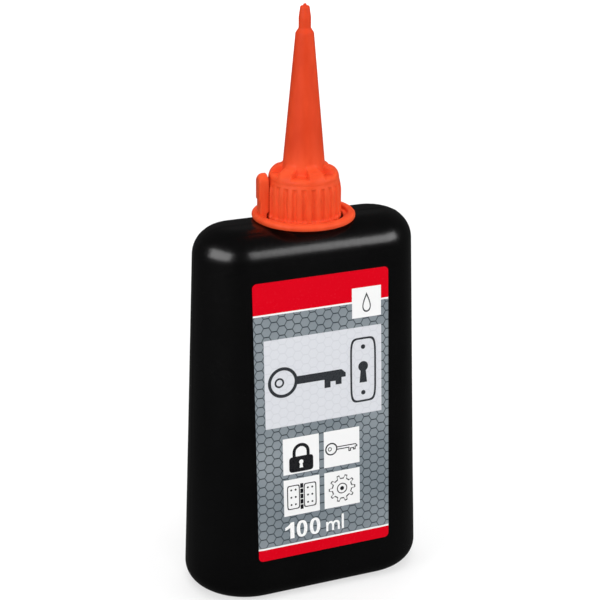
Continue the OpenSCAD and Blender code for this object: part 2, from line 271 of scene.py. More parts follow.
class Term:
    """A socket of a node tree that takes part in formulas, or none yet, to start from."""

    def __init__(self, tree, socket=None):
        self.tree, self.socket = tree, socket

    def node(self, kind, settings={}, inputs={}, output=0):
        """Any node: its settings first, then its inputs, by identifier, name or place."""
        made = self.tree.nodes.new(kind)
        for name, value in settings.items():
            setattr(made, name, value)
        for name, value in inputs.items():
            if isinstance(name, int):
                socket = made.inputs[name]
            else:
                socket = next(s for s in made.inputs if name in (s.identifier, s.name))
            if isinstance(value, Term):
                self.tree.links.new(value.socket, socket)
            else:
                socket.default_value = value
        return Term(self.tree, made.outputs[output] if made.outputs else None)

    def maths(self, operation, *values):
        inputs = dict(enumerate((self,) + values))
        return self.node("ShaderNodeMath", {"operation": operation}, inputs)

    def __add__(self, other):
        return self.maths("ADD", other)

    def __sub__(self, other):
        return self.maths("SUBTRACT", other)

    def __rsub__(self, other):
        return (self * -1).maths("ADD", other)

    def __mul__(self, other):
        return self.maths("MULTIPLY", other)

    __radd__, __rmul__ = __add__, __mul__

    def __mod__(self, other):
        return self.maths("FLOORED_MODULO", other)

    def __abs__(self):
        return self.maths("ABSOLUTE")

    def __lt__(self, other):
        return self.maths("LESS_THAN", other)

    def __gt__(self, other):
        return self.maths("GREATER_THAN", other)

    def higher(self, other):
        return self.maths("MAXIMUM", other)

    def ramp(self, low, high, bottom=0.0, top=1.0):
        """Smooth step from bottom at low to top at high."""
        return self.node("ShaderNodeMapRange", {"interpolation_type": "SMOOTHSTEP"},
                         {"Value": self, "From Min": low, "From Max": high,
                          "To Min": bottom, "To Max": top})

    def colour(self, off, on):
        """The colour off where this is 0, and on where it is 1."""
        return self.node("ShaderNodeMix", {"data_type": "RGBA"},
                         {"Factor_Float": self, "A_Color": off, "B_Color": on}, 2)

    def noise(self, scale, detail=2.0, roughness=0.5):
        return self.node("ShaderNodeTexNoise", {},
                         {"Vector": self, "Scale": scale, "Detail": detail,
                          "Roughness": roughness})

    def stretched(self, x, y, z):
        return self.node("ShaderNodeVectorMath", {"operation": "MULTIPLY"},
                         {0: self, 1: (x, y, z)})

    def parts(self):
        made = self.node("ShaderNodeSeparateXYZ", {}, {"Vector": self})
        return [Term(self.tree, socket) for socket in made.socket.node.outputs]

    def bump(self, distance, strength=1.0):
        return self.node("ShaderNodeBump", {},
                         {"Height": self, "Distance": distance, "Strength": strength})


def new_material(name, constants):
    """A material, its place in millimetres as a Term, and what feeds its shader."""
    material = bpy.data.materials.new(name)
    material.use_nodes = True
    tree = material.node_tree
    shader = tree.nodes["Principled BSDF"]
    for socket, value in constants.items():
        shader.inputs[socket].default_value = value
    place = Term(tree).node("ShaderNodeTexCoord", output="Object")

    def feed(**terms):
        for socket, term in terms.items():
            tree.links.new(term.socket, shader.inputs[socket.replace("_", " ")])
    return material, place.stretched(1 / mm, 1 / mm, 1 / mm), feed


black_plastic, point, feed = new_material("black_polyethylene", {
    "IOR": 1.5, "Specular IOR Level": 0.5})
drawn = point.stretched(1.0, 1.0, 0.03).noise(1.6, 3)
skin = point.noise(0.9, 4, 0.6)
worn = point.noise(0.05, 2)
feed(Base_Color=worn.ramp(0.3, 0.7).colour(black_deep, black_worn),
     Roughness=skin * 0.12 + worn * 0.06 + 0.15,
     Normal=(drawn * 0.6 + skin * 0.4).bump(0.00006, 0.5))

bottle = make_piece("bottle_shell", [bottle_shell, seam_shell,
                                     thread_shell(neck_r, neck_thread_z, 1)], black_plastic)
normals = np.array([v.normal for v in bottle.data.vertices])
for i in range(bead_first_ring * len(bottle_turns), bead_last_ring * len(bottle_turns)):
    vertex = bottle.data.vertices[i]
    if vertex.co.z > bead_z:
        lift = max(0.0, 1 - (vertex.co.y / bead_w) ** 2) * bead_h
        vertex.co += Vector(normals[i]) * lift
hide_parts("bottle")
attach(bottle, "bottle")

# Graphite charge: fine dry graphite powder, settled level in the bottle.
# It keeps the form that the frame gives it. Flakes glint in the dark powder.
powder_dark, powder_light = (0.018, 0.018, 0.02, 1), (0.06, 0.06, 0.066, 1)
powder, point, feed = new_material("graphite_powder", {"Metallic": 0.35,
                                                       "Specular IOR Level": 0.5})
flakes = point.node("ShaderNodeTexVoronoi", {"feature": "F1"}, {"Vector": point, "Scale": 6.0})
clumps = point.noise(0.8, 5, 0.65)
feed(Base_Color=clumps.ramp(0.25, 0.75).colour(powder_dark, powder_light),
     Roughness=flakes.ramp(0.0, 0.35, 0.3, 0.75),
     Normal=(clumps + flakes * 0.3).bump(0.0004, 0.8))
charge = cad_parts["graphite_charge"]
charge.data.materials.clear()
charge.data.materials.append(powder)

# Neck gasket: a die-cut washer of white closed-cell foam, pressed between rim and cap.
# It keeps the form that the frame gives it. Fine cells show in its surface.
foam_light, foam_shade = (0.86, 0.85, 0.8, 1), (0.72, 0.7, 0.65, 1)
foam, point, feed = new_material("foam_liner", {"Specular IOR Level": 0.3,
                                                "Subsurface Weight": 0.1})
cells = point.node("ShaderNodeTexVoronoi", {"feature": "F1"}, {"Vector": point, "Scale": 7.0})
feed(Base_Color=cells.ramp(0.1, 0.6).colour(foam_light, foam_shade),
     Roughness=cells.ramp(0.0, 0.6, 0.6, 0.85),
     Normal=cells.bump(0.0002, 0.6))
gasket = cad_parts["neck_gasket"]
gasket.data.materials.clear()
gasket.data.materials.append(foam)

# Spout cap: one injection-moulded piece of orange polypropylene, screwed on the neck. It has
# a ribbed skirt, a deck with six gussets, a long cone and a closed nib with its moulding gate.
skirt_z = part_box("spout_cap")[0].z
skirt_bore_r, roof_z, deck_z = 7.9 * mm, 108.04 * mm, 108.99 * mm
rib_count, rib_r, rib_depth, groove_half_w = 24, 9.3 * mm, 0.6 * mm, 0.62 * mm
groove_foot_h, groove_head_h = 0.5 * mm, 0.8 * mm
groove_run_in, groove_run_out = 0.8 * mm, 1.1 * mm
flare_r, flare_h, flare_t = 9.41 * mm, 1.2 * mm, 0.5 * mm
brow_r, brow_z, brow_slope_h = 8.75 * mm, 107.49 * mm, 2.2 * mm
deck_round, cone_foot_round, meet_h = 1 * mm, 0.6 * mm, 5 * mm
gusset_count, gusset_rise, gusset_blend_w = 6, 3 * mm, 0.4 * mm
gusset_foot_w, gusset_top_w = 4.1 * mm, 2.7 * mm
gusset_brow_h, gusset_meet_h = 1 * mm, 1.93 * mm
gusset_brow_round, gusset_foot_round = 3.15 * mm, 1.5 * mm
spout_foot_r, spout_top_r, spout_top_z = 5.4 * mm, 2.25 * mm, 143.39 * mm
spout_bore_r, mouth_bore_r = 4.2 * mm, 1.05 * mm
nib_z, nib_r, nib_tip_r, nib_straight_h = 144.59 * mm, 1.5 * mm, 1.2 * mm, 2.5 * mm
tip_z, nib_dome_h, nib_edge_w = 149.89 * mm, 0.63 * mm, 0.1 * mm
gate_r, gate_h, gate_draft, pole_r = 0.42 * mm, 0.5 * mm, 0.04 * mm, 0.05 * mm
nib_bore_r, nib_bore_dome_h, nib_plug_h = 0.7 * mm, 0.665 * mm, 1.6 * mm
skirt_rounds = [0.2 * mm, 0.3 * mm, 0.4 * mm, 8 * mm]
spout_rounds = [0.7 * mm, 0.5 * mm, 1.5 * mm, 0.3 * mm, 0.45 * mm, 0.08 * mm, 0.2 * mm]
hollow_rounds = [0.1 * mm, 0.2 * mm, 0.5 * mm, 0.3 * mm, 0.1 * mm, 0.2 * mm]
skirt_spacing, spout_spacing, hollow_spacing = 0.26 * mm, 2 * mm, 4 * mm
cap_columns, deck_rows, groove_power = 384, 84, 0.6
# The orange itself, and a darker copy of it that is painted shade on the cone and nib, from the
# deck up.
shade_from_z, shade_full_z = 110.5, 117
orange_dull, orange_bright = (0.78, 0.073, 0.019, 1), (0.85, 0.092, 0.027, 1)
shaded_dull, shaded_bright = (0.66, 0.051, 0.012, 1), (0.72, 0.062, 0.016, 1)


def rounded_path(points, radii, steps):
    """A path through points, with an arc of its own radius round each corner."""
    points = [np.array(p, float) for p in points]
    path = [points[0]]
    for before, corner, after, radius in zip(points, points[1:], points[2:], radii):
        into = (corner - before) / np.linalg.norm(corner - before)
        out = (after - corner) / np.linalg.norm(after - corner)
        bend = math.acos(max(-1, min(1, float(into @ out))))
        cut = radius * math.tan(bend / 2)
        side = math.copysign(1, into[0] * out[1] - into[1] * out[0])
        centre = corner - into * cut + side * radius * np.array([-into[1], into[0]])
        spoke = corner - into * cut - centre
        for turn in np.linspace(0, side * bend, steps + 1):
            path.append(centre + [spoke[0] * math.cos(turn) - spoke[1] * math.sin(turn),
                                  spoke[0] * math.sin(turn) + spoke[1] * math.cos(turn)])
    return np.array(path + [points[-1]])


def spaced(path, longest):
    """The same path, with its long straights cut up."""
    out = [path[0]]
    for start, end in zip(path, path[1:]):
        count = max(1, math.ceil(np.linalg.norm(end - start) / longest))
        out += [start + (end - start) * (i + 1) / count for i in range(count)]
    return np.array(out)


def resampled(path, count):
    """A path's points at even distances, count of them."""
    run = np.concatenate([[0], np.cumsum(np.linalg.norm(np.diff(path, axis=0), axis=1))])
    at = np.linspace(0, run[-1], count)
    return np.stack([np.interp(at, run, path[:, 0]), np.interp(at, run, path[:, 1])], 1)


cone_slope = (spout_foot_r - spout_top_r) / (spout_top_z - deck_z)


def on_cone(height):
    """Radius and height of the cone's outside, at a height over the deck."""
    return spout_foot_r - height * cone_slope, deck_z + height


plain_deck = resampled(rounded_path([
    (brow_r, brow_z), (brow_r, deck_z), (spout_foot_r, deck_z), on_cone(meet_h)],
    [deck_round, cone_foot_round], steps=10), deck_rows)
gusset_deck = resampled(rounded_path([
    (brow_r, brow_z), (brow_r, deck_z + gusset_brow_h), on_cone(gusset_meet_h),
    on_cone(meet_h)], [gusset_brow_round, gusset_foot_round], steps=14), deck_rows)

skirt = spaced(rounded_path([
    (skirt_bore_r, skirt_z), (flare_r, skirt_z), (flare_r, skirt_z + flare_h - flare_t),
    (rib_r, skirt_z + flare_h), (rib_r, brow_z - brow_slope_h), (brow_r, brow_z)],
    skirt_rounds, steps=5), skirt_spacing)
spout = spaced(rounded_path([
    on_cone(meet_h), (spout_top_r, spout_top_z), (nib_r, nib_z),
    (nib_r, nib_z + nib_straight_h), (nib_tip_r, tip_z - nib_dome_h),
    (nib_tip_r - nib_edge_w, tip_z), (gate_r, tip_z), (gate_r - gate_draft, tip_z + gate_h),
    (pole_r, tip_z + gate_h)], spout_rounds, steps=6), spout_spacing)
hollow = spaced(rounded_path([
    (pole_r, tip_z - nib_plug_h + nib_bore_dome_h), (nib_bore_r, tip_z - nib_plug_h),
    (nib_bore_r, nib_z), (mouth_bore_r, spout_top_z), (spout_bore_r, deck_z),
    (spout_bore_r, roof_z), (skirt_bore_r, roof_z), (skirt_bore_r, skirt_z)],
    hollow_rounds, steps=3), hollow_spacing)

cap_turns = np.arange(cap_columns) * 2 * math.pi / cap_columns


def skirt_ring(r, z):
    """A level of the skirt, with the round-bottomed grooves between its ribs."""
    far = np.full(cap_columns, float(r))
    up, down = z - skirt_z - groove_foot_h, brow_z - groove_head_h - z
    if up > 0 and down > 0:
        pitch = 2 * math.pi / rib_count
        off = r * np.abs(np.mod(cap_turns, pitch) - pitch / 2)
        across = np.clip(1 - (off / groove_half_w) ** 2, 0, 1) ** groove_power
        along = min(1, up / groove_run_in, down / groove_run_out)
        far -= rib_depth * across * math.sqrt(math.sin(along * math.pi / 2))
    return ring_points(cap_turns, far, z)


def deck_ring(plain, gusset):
    """A ring over the deck, which rises on to the six gussets."""
    pitch = 2 * math.pi / gusset_count
    swing = np.mod(cap_turns + math.pi / 2 + pitch / 2, pitch) - pitch / 2
    middle_r = (plain[0] + gusset[0]) / 2
    off = middle_r * np.abs(np.sin(swing))
    height = max(0.0, min(gusset[1] - deck_z, gusset_rise))
    lean = (gusset_foot_w - gusset_top_w) / 2 / gusset_rise
    half = gusset_foot_w / 2 - lean * height
    share = np.clip((half + gusset_blend_w / 2 - off) / gusset_blend_w, 0, 1)
    share = share * share * (3 - 2 * share)
    far = plain[0] + (gusset[0] - plain[0]) * share
    z = plain[1] + (gusset[1] - plain[1]) * share
    return ring_points(cap_turns, far, z)


cap_rings = [ring_points(cap_turns, r, z) for r, z in hollow]
cap_rings += [skirt_ring(r, z) for r, z in skirt[1:-1]]
cap_rings += [deck_ring(plain, gusset) for plain, gusset in zip(plain_deck, gusset_deck)]
cap_rings += [ring_points(cap_turns, r, z) for r, z in spout[1:]]
cap_shell = rings_to_mesh(cap_rings, [(0, 0, hollow[0][1]), (0, 0, tip_z + gate_h)])

orange_plastic, point, feed = new_material("orange_polypropylene", {
    "Specular IOR Level": 0.12, "Subsurface Weight": 0.12, "Subsurface Scale": 0.0015,
    "Subsurface Radius": (1.0, 0.25, 0.1)})
flow = point.stretched(1, 1, 0.35).noise(0.35, 3)
spark = point.noise(5.5, 3, 0.6)
streaks = flow.ramp(0.3, 0.7)
# Painted shade: from the deck up, over the cone and the nib, the orange turns to its darker copy.
painted_cone_shade = point.parts()[2].ramp(shade_from_z, shade_full_z)
feed(Base_Color=painted_cone_shade.colour(streaks.colour(orange_dull, orange_bright),
                                 streaks.colour(shaded_dull, shaded_bright)),
     Roughness=spark * 0.15 + 0.36,
     Normal=(spark * 0.5 + flow * 0.5).bump(0.00005, 0.5))

cap_thread_z = neck_thread_z - thread_pitch / 2
cap = make_piece("spout_cap_shell", [cap_shell, thread_shell(skirt_bore_r, cap_thread_z, -1)],
                 orange_plastic, sharp=50)
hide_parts("spout_cap")
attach(cap, "spout_cap")

# Tear ring: an injection-moulded ring of the same orange polypropylene round the cap's foot.
# Its thin web carries a round rim, and its upright tab is pulled to tear the ring off.
ring_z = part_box("tear_ring")[0].z
ring_bore_r, web_t, web_w = 9.9 * mm, 0.7 * mm, 1 * mm
rim_w, rim_h = 2 * mm, 1.7 * mm
rim_r = ring_bore_r + web_w + rim_w
tab_h, tab_w, tab_t = 11.9 * mm, 4 * mm, 1.8 * mm
tab_stem_h, tab_step, tab_angle = 5 * mm, 0.25 * mm, math.radians(171)
tab_edge_round, tab_top_round, bevel_fade = 0.35 * mm, 1.9 * mm, 0.8
pad_low_h, pad_foot_h = 2.6 * mm, 1.9 * mm
back_r, pad_back_r = ring_bore_r + 0.02 * mm, 9.46 * mm
tab_r = ring_bore_r + tab_t
ring_rounds = [0.15 * mm, 0.75 * mm, 0.85 * mm, 0.35 * mm, 0.3 * mm, 0.15 * mm]
tab_rounds = [0.3 * mm, 0.3 * mm, 0.3 * mm, 0.45 * mm, 0.12 * mm, 0.45 * mm, 1.35 * mm,
              0.35 * mm]
ring_spacing, tab_spacing, bevel_steps, flat_steps = 0.5 * mm, 0.3 * mm, 6, 7

ring_path = spaced(rounded_path([
    (ring_bore_r, ring_z + web_t / 2), (ring_bore_r, ring_z), (rim_r, ring_z),
    (rim_r, ring_z + rim_h), (ring_bore_r + web_w, ring_z + rim_h),
    (ring_bore_r + web_w, ring_z + web_t), (ring_bore_r, ring_z + web_t),
    (ring_bore_r, ring_z + web_t / 2)], ring_rounds, steps=8)[:-1], ring_spacing)
ring_shell = rings_to_mesh([ring_points(cap_turns[::2], r, z) for r, z in ring_path],
                           looped=True)

tab_path = spaced(rounded_path([
    (pad_back_r, ring_z + tab_h / 2), (pad_back_r, ring_z + pad_low_h),
    (back_r, ring_z + pad_foot_h), (back_r, ring_z + web_t / 2),
    (tab_r - tab_step, ring_z + web_t / 2), (tab_r - tab_step, ring_z + tab_stem_h),
    (tab_r, ring_z + tab_stem_h + tab_step), (tab_r, ring_z + tab_h),
    (pad_back_r, ring_z + tab_h), (pad_back_r, ring_z + tab_h / 2)],
    tab_rounds, steps=8)[:-1], tab_spacing)
ahead = np.roll(tab_path, -1, axis=0) - np.roll(tab_path, 1, axis=0)
ahead /= np.linalg.norm(ahead, axis=1)[:, None]
inwards = np.stack([-ahead[:, 1], ahead[:, 0]], 1)
cos_tab, sin_tab = math.cos(tab_angle), math.sin(tab_angle)
half_w = tab_w / 2
bevel = [(half_w - tab_edge_round * (1 - math.sin(turn)), tab_edge_round * (1 - math.cos(turn)))
         for turn in np.linspace(math.pi / 2, 0, bevel_steps)]
flat = [(y, 0.0) for y in np.linspace(half_w - tab_edge_round, 0, flat_steps)[1:]]
slices = [(-y, inset) for y, inset in bevel + flat] + (bevel + flat)[-2::-1]


def back_share(loop):
    """How far each point of a slice lies from the tab's face (0) towards its back (1)."""
    return 1 - np.clip((loop[:, 0] - pad_back_r) / (tab_r - pad_back_r), 0, 1)


tab_rings = []
for y, inset in slices:
    loop = tab_path + inwards * (inset * (1 - bevel_fade * back_share(tab_path) ** 3))[:, None]
    over_corner = max(0.0, abs(y) - (half_w - tab_top_round))
    drop = tab_top_round - math.sqrt(tab_top_round ** 2 - over_corner ** 2)
    raised = np.clip((loop[:, 1] - ring_z - tab_stem_h) / (tab_h - tab_stem_h), 0, 1)
    x = loop[:, 0] - back_share(loop) * (back_r - math.sqrt(back_r ** 2 - y ** 2))
    tab_rings.append(np.stack([x * cos_tab - y * sin_tab, x * sin_tab + y * cos_tab,
                               loop[:, 1] - drop * raised], 1))
tab_points, tab_faces = rings_to_mesh(tab_rings)
loop_count = len(tab_path)
tab_faces.append(tuple(range(loop_count))[::-1])
tab_faces.append(tuple(range(len(tab_points) - loop_count, len(tab_points))))
ring = make_piece("tear_ring_shell", [ring_shell, (tab_points, tab_faces)], orange_plastic,
                  sharp=50)
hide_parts("tear_ring")
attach(ring, "tear_ring")

# Labels: printed plastic films, glued on the flat faces of the bottle. Both have red bands
# with white rules, a honeycomb ground and a pale panel. The front one has a white square and
# four white tiles too. Sizes of the print are in millimetres, from the axis and the foot.
label_w, label_h, label_mid_z = 36.6 * mm, 73.6 * mm, 48.6 * mm
label_corner_r, label_t, glue_t = 1.1 * mm, 0.12 * mm, 0.02 * mm
corner_steps, side_steps, middle_columns, edge_columns, edge_share = 7, 12, 24, 12, 0.86
cell_side, cell_x, cell_z = 1.38, 12.01, 42.87
header_z, footer_z = 77.1, 15.1
header_rule, footer_rule = (76.95, 77.4), (14.85, 15.35)
panel_x, panel_z = (-15.7, 16.3), (47.45, 70.6)
square_x, square_z = (8.25, 16.25), (73.0, 80.85)
tile_columns, tile_rows = ((-11.2, -1.3), (0.05, 10.0)), ((34.3, 44.1), (23.0, 32.9))
print_white, line_dark = (0.9, 0.9, 0.9, 1), (0.02, 0.03, 0.038, 1)
steel_dull, steel_bright = (0.19, 0.225, 0.25, 1), (0.27, 0.305, 0.33, 1)
panel_pale, panel_line = (0.7, 0.715, 0.755, 1), (0.3, 0.32, 0.35, 1)
red_dull, red_bright = (0.69, 0.0, 0.008, 1), (0.72, 0.0, 0.012, 1)
flat_line, slant_line = (0.05, 0.22, 0.95), (0.04, 0.21, 0.75)
panel_line_share = 0.16


def face_y(x, z, off):
    """Distance from the middle plane to the body's face, with off more."""
    radius = half_depth(z) + off * math.hypot(1, face_slope)
    past = np.maximum(np.abs(x) - (half_width(z) - half_depth(z)), 0)
    return np.sqrt(np.maximum(radius ** 2 - past ** 2, 0))


def film(side):
    """Closed film on the front (-1) or rear (1) face, with round corners."""
    rows = [(label_h / 2 - label_corner_r * (1 - math.sin(turn)),
             label_w / 2 - label_corner_r * (1 - math.cos(turn)))
            for turn in np.linspace(0, math.pi / 2, corner_steps)[::-1]]
    rows += [(z, label_w / 2)
             for z in np.linspace(label_h / 2 - label_corner_r, 0, side_steps)[1:]]
    rows += [(-z, w) for z, w in rows[-2::-1]]
    edge_shares = np.linspace(edge_share, 1, edge_columns)[1:]
    shares = np.concatenate([-edge_shares[::-1],
                             np.linspace(-edge_share, edge_share, middle_columns), edge_shares])
    grids = []
    for off in (glue_t, glue_t + label_t):
        grid = []
        for up, half in rows:
            x, z = shares * half, label_mid_z + up
            grid.append(np.stack([x, side * face_y(x, z, off), np.full(len(x), z)], 1))
        grids.append(np.array(grid))
    height, width = grids[0].shape[:2]
    count = height * width
    points = [tuple(p) for grid in grids for p in grid.reshape(-1, 3)]
    quads = [(r * width + c, (r + 1) * width + c, (r + 1) * width + c + 1, r * width + c + 1)
             for r in range(height - 1) for c in range(width - 1)]
    edge = (list(range(width)) + [r * width + width - 1 for r in range(1, height)]
            + [(height - 1) * width + c for c in range(width - 2, -1, -1)]
            + [r * width for r in range(height - 2, 0, -1)])
    faces = [tuple(i + count for i in quad) for quad in quads] + [quad[::-1] for quad in quads]
    faces += [(a, b, b + count, a + count) for a, b in zip(edge, edge[1:] + edge[:1])]
    if side > 0:
        faces = [face[::-1] for face in faces]
    return points, faces


def label_print(name, tiled):
    """The film's print: bands, rules, honeycomb and pale panel, and on the front white tiles."""
    material, point, feed = new_material(name, {"Specular IOR Level": 0.08})
    x, _, z = point.parts()
    across, up = 3 * cell_side, 3 ** 0.5 * cell_side
    apothem = up / 2

    def cell(shift_x, shift_z):
        return (x - shift_x) % across - across / 2, (z - shift_z) % up - up / 2

    def inside(value, limits):
        return (value > limits[0]) * (value < limits[1])

    (ax, az), (bx, bz) = cell(cell_x, cell_z), cell(cell_x + across / 2, cell_z + up / 2)
    nearer = (ax * ax + az * az) < (bx * bx + bz * bz)
    cx, cz = nearer * ax + (1 - nearer) * bx, nearer * az + (1 - nearer) * bz
    flat_edge = apothem - abs(cz)
    slant_edge = apothem - (abs(cx) * (3 ** 0.5 / 2) + abs(cz) * 0.5)
    line = (flat_edge.ramp(*flat_line[:2], 1, 0) * flat_line[2]).higher(
        slant_edge.ramp(*slant_line[:2], 1, 0) * slant_line[2])
    tone = point.noise(0.05, 1)
    ground = line.colour(tone.ramp(0.3, 0.7).colour(steel_dull, steel_bright), line_dark)
    panel = inside(x, panel_x) * inside(z, panel_z)
    ground = panel.colour(ground, (line * panel_line_share).colour(panel_pale, panel_line))
    bands = (z > header_z).higher(z < footer_z)
    ground = bands.colour(ground, tone.colour(red_dull, red_bright))
    whites = inside(z, header_rule).higher(inside(z, footer_rule))
    if tiled:
        square = inside(x, square_x) * inside(z, square_z)
        tiles = (inside(x, tile_columns[0]).higher(inside(x, tile_columns[1]))
                 * inside(z, tile_rows[0]).higher(inside(z, tile_rows[1])))
        whites = whites.higher(square).higher(tiles)
    mottle = point.noise(1.5, 3)
    feed(Base_Color=whites.colour(ground, print_white), Roughness=mottle * 0.12 + 0.2,
         Normal=mottle.bump(0.00002, 0.4))
    return material


front_label = make_piece("front_label_film", [film(-1)], label_print("front_print", True),
                         sharp=30)
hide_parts("front_label")
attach(front_label, "bottle")
rear_label = make_piece("rear_label_film", [film(1)], label_print("rear_print", False),
                        sharp=30)
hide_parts("rear_label")
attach(rear_label, "bottle")

# Net volume: the numerals and the unit of the filling, in white ink on the front film.
# They are printed on it, as a layer of ink that stands a fortieth of a millimetre proud.
ink_t, outline_half_t = 0.025 * mm, 0.01
volume_z, digit_z, stem_top_z = 16.7, 18.92, 20.85


def ink_material(name, colour):
    """Printer's ink with a slight mottle."""
    material, point, feed = new_material(name, {"Specular IOR Level": 0.08})
    mottle = point.noise(2.5, 3)
    bright = tuple(min(1, c * 1.15 + 0.004) for c in colour) + (1,)
    feed(Base_Color=mottle.ramp(0.3, 0.7).colour(colour + (1,), bright),
         Roughness=mottle * 0.12 + 0.22)
    return material


def on_face(name, mesh, material):
    """Puts a flat drawing, in millimetres across and up, on the front film."""
    points = []
    for vertex in mesh.vertices:
        x, z, out = vertex.co.x * mm, vertex.co.y * mm, vertex.co.z
        y = face_y(np.array(x), z, glue_t + label_t) + ink_t / 2 * (1 + math.copysign(1, out))
        points.append((x, -float(y), z))
    faces = [tuple(polygon.vertices) for polygon in mesh.polygons]
    piece = make_piece(name, [(points, faces)], material, sharp=30)
    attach(piece, "bottle")


def plain_mesh(holder):
    """The mesh that an object of the scene evaluates to. The object goes."""
    bpy.context.view_layer.update()
    mesh = bpy.data.meshes.new_from_object(holder.evaluated_get(
        bpy.context.evaluated_depsgraph_get()))
    holder.modifiers.clear()
    bpy.data.objects.remove(holder)
    return mesh


def drawing(name, loops, material):
    """A flat drawing filled between closed loops of points; a loop inside another is a hole."""
    curve = bpy.data.curves.new(name, "CURVE")
    curve.dimensions, curve.fill_mode, curve.extrude = "2D", "BOTH", outline_half_t
    for loop in loops:
        spline = curve.splines.new("POLY")
        spline.points.add(len(loop) - 1)
        for spot, (x, z) in zip(spline.points, loop):
            spot.co = (x, z, 0, 1)
        spline.use_cyclic_u = True
    holder = bpy.data.objects.new(name, curve)
    bpy.context.scene.collection.objects.link(holder)
    on_face(name, plain_mesh(holder), material)


def round_loop(x, z, across, up=None, count=48, start=0.0, end=2 * math.pi, square=2.0):
    """A circle or oval, or a part of one; square above 2 makes its sides flatter."""
    whole = abs(abs(end - start) - 2 * math.pi) < 1e-6
    up = up or across

    def bent(value):
        return math.copysign(abs(value) ** (2 / square), value)
    return [(x + across * bent(math.cos(a)), z + up * bent(math.sin(a)))
            for a in np.linspace(start, end, count, endpoint=not whole)]


def box_loop(x0, z0, x1, z1):
    return [(x0, z0), (x1, z0), (x1, z1), (x0, z1)]


white_ink = ink_material("white_ink", (0.88, 0.88, 0.88))
numeral_one = [(-9.65, 16.7), (-8.5, 16.7), (-8.5, 21.15), (-9.45, 21.15), (-9.9, 20.55),
               (-10.4, 20.2), (-11, 19.95), (-11, 19.1), (-10.3, 19.35), (-9.65, 19.7)]
zeros = [round_loop(x, digit_z, across, up, square=square) for x in (-6.35, -2.72)
         for across, up, square in ((1.47, 2.3, 2.3), (0.55, 1.62, 2.1))]
unit_m = [(0.4, 16.7), (0.4, 19.32), (0.95, 19.32), (0.98, 18.98), (1.25, 19.27), (1.62, 19.4),
          (2.05, 19.33), (2.36, 19.02), (2.72, 19.31), (3.15, 19.4), (3.75, 19.27), (4.13, 18.9),
          (4.25, 18.35), (4.25, 16.7), (3.66, 16.7), (3.66, 18.25), (3.53, 18.7), (3.18, 18.88),
          (2.8, 18.7), (2.62, 18.2), (2.62, 16.7), (2.03, 16.7), (2.03, 18.25), (1.9, 18.7),
          (1.57, 18.88), (1.17, 18.7), (0.99, 18.2), (0.99, 16.7)]
drawing("volume_numeral", [numeral_one] + zeros, white_ink)
drawing("volume_unit", [unit_m, box_loop(4.8, volume_z, 5.4, stem_top_z)], white_ink)

# Padlock: a closed padlock in black ink, printed on the first white tile.
# The shackle and the body with its keyhole are two drawings, in sizes from the lock's middle.
lock_x, lock_z = -6.25, 39.1
shackle_z, shackle_foot_z, shackle_out_r, shackle_in_r = 0.9, -0.2, 2.35, 1.5


def moved(loop, x, z, size=1.0):
    return [(x + a * size, z + b * size) for a, b in loop]


black_ink = ink_material("black_ink", (0.012, 0.012, 0.014))
shackle = (round_loop(0, shackle_z, shackle_out_r, count=24, start=math.pi, end=0)
           + [(shackle_out_r, shackle_foot_z), (shackle_in_r, shackle_foot_z)]
           + round_loop(0, shackle_z, shackle_in_r, count=24, start=0, end=math.pi)
           + [(-shackle_in_r, shackle_foot_z), (-shackle_out_r, shackle_foot_z)])
keyhole = round_loop(0, -1.8, 0.6, count=24, start=-0.3 * math.pi, end=1.3 * math.pi) + [
    (-0.5, -3.4), (0.5, -3.4)]
drawing("padlock_shackle", [moved(shackle, lock_x, lock_z)], black_ink)
drawing("padlock_body", [moved(round_loop(0, -2.3, 3.3, 2.1, square=7), lock_x, lock_z),
                         moved(keyhole, lock_x, lock_z)], black_ink)

# Key: a key in black outline, printed on the second white tile.
# The bow has a hole for the ring, and the blade two bits. The panel's key uses them again.
key_x, key_z = 5.0, 39.2
bow = [round_loop(x, 0, r) for x, r in ((-2.9, 1.7), (-2.9, 1.35), (-3.3, 0.55), (-3.3, 0.35))]
blade = [(-1.25, 0.45), (3.9, 0.45), (4.4, 0.0), (4.4, -0.45), (3.9, -0.45), (3.9, -1.2),
         (3.2, -1.2), (3.2, -0.75), (2.6, -0.75), (2.6, -1.4), (1.9, -1.4), (1.9, -0.45),
         (-1.25, -0.45)]
blade_inside = [(-1.25, 0.2), (3.8, 0.2), (4.15, -0.1), (4.15, -0.2), (3.65, -0.2), (3.65, -0.95),
                (3.45, -0.95), (3.45, -0.5), (2.35, -0.5), (2.35, -1.15), (2.15, -1.15),
                (2.15, -0.2), (-1.25, -0.2)]
drawing("key_bow", [moved(loop, key_x, key_z) for loop in bow], black_ink)
drawing("key_blade", [moved(loop, key_x, key_z) for loop in (blade, blade_inside)], black_ink)

# Hinge: a butt hinge in black outline, printed on the third white tile.
# Two leaves stand beside five knuckles.
hinge_x, hinge_z, leaf_x = -6.25, 27.95, 2.3
knuckle_half_w, knuckle_h = 0.42, 1.25
leaves = [moved(round_loop(side * leaf_x, 0, half_w, half_h, square=9), hinge_x, hinge_z)
          for side in (-1, 1) for half_w, half_h in ((1.75, 3.3), (1.5, 3.05))]
drawing("hinge_leaves", leaves, black_ink)
knuckle = box_loop(-knuckle_half_w, 0, knuckle_half_w, knuckle_h)
drawing("hinge_knuckles", [moved(knuckle, hinge_x, hinge_z + z)
                           for z in (-3.6, -2.15, -0.7, 0.75, 2.2)], black_ink)

# Gear wheel: a toothed wheel in black outline, printed on the fourth white tile.
# The toothed rim and the round hub are two drawings.
gear_x, gear_z, gear_teeth = 5.0, 27.95, 10
tooth_foot_share, tooth_top_share = 0.26, 0.16


